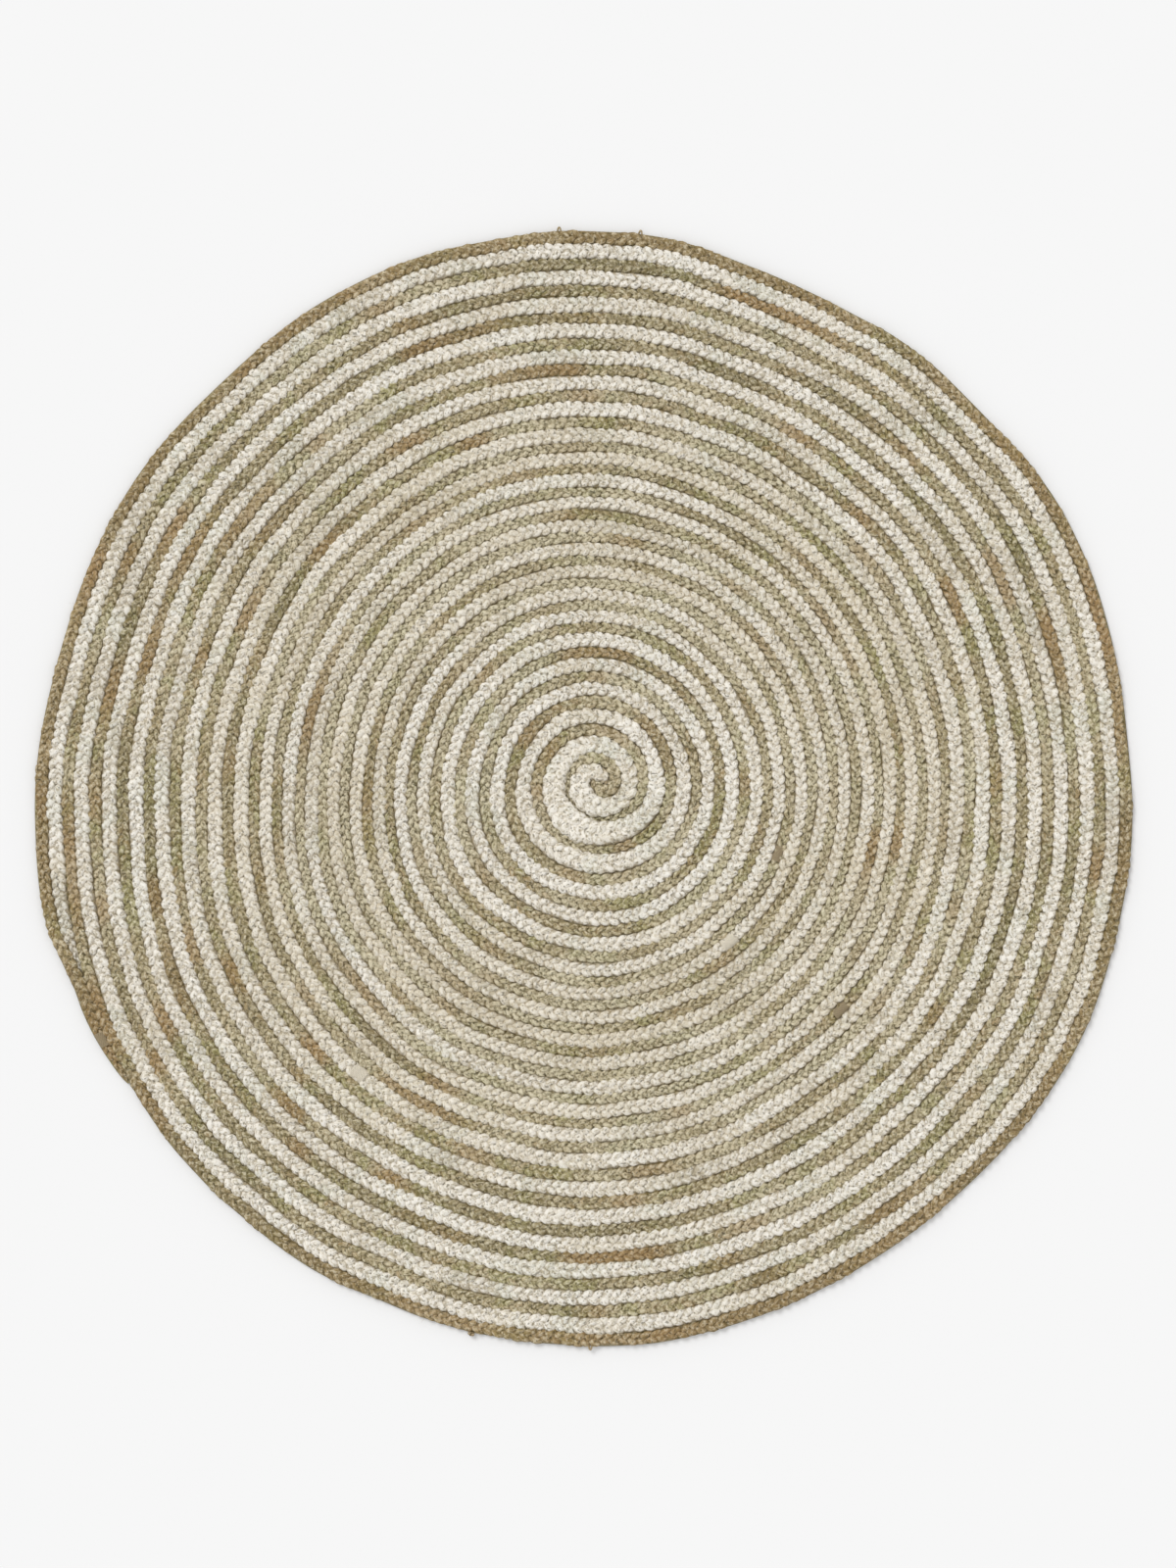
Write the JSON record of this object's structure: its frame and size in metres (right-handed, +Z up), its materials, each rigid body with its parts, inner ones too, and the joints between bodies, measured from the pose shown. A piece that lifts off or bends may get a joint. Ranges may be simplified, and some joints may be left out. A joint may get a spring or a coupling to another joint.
{
  "type": "area rug",
  "caption": "Round braided area rug: a white plait and a natural jute plait coiled side by side from the centre and sewn together turn by turn.",
  "frame": {"origin": "middle of the rug's outline, on the floor under it", "axes": "+Z up out of the rug's face, +X and +Y along its width; the tail of the coil is 18 degrees past -X, towards -Y"},
  "size_m": [0.9992, 1.0112, 0.009],
  "materials": {
    "white_braid": "bleached fibre plait, matt, slightly hairy",
    "jute_braid": "natural jute plait, matt, hairy",
    "sewing_thread": "twisted thread, matt"
  },
  "bodies": {
    "root": {"white_braid_inner": "white_braid", "white_braid_middle": "white_braid", "white_braid_outer": "white_braid", "jute_braid_inner": "jute_braid", "jute_braid_middle": "jute_braid", "jute_braid_outer": "jute_braid", "white_join_binding_1": "sewing_thread", "white_join_binding_2": "sewing_thread", "jute_join_binding_1": "sewing_thread", "jute_join_binding_2": "sewing_thread", "tail_binding": "sewing_thread", "seam_thread_inner": "sewing_thread", "seam_thread_middle": "sewing_thread", "seam_thread_outer": "sewing_thread", "centre_tack": "sewing_thread", "rim_knot": "jute_braid"}
  },
  "joints": []
}
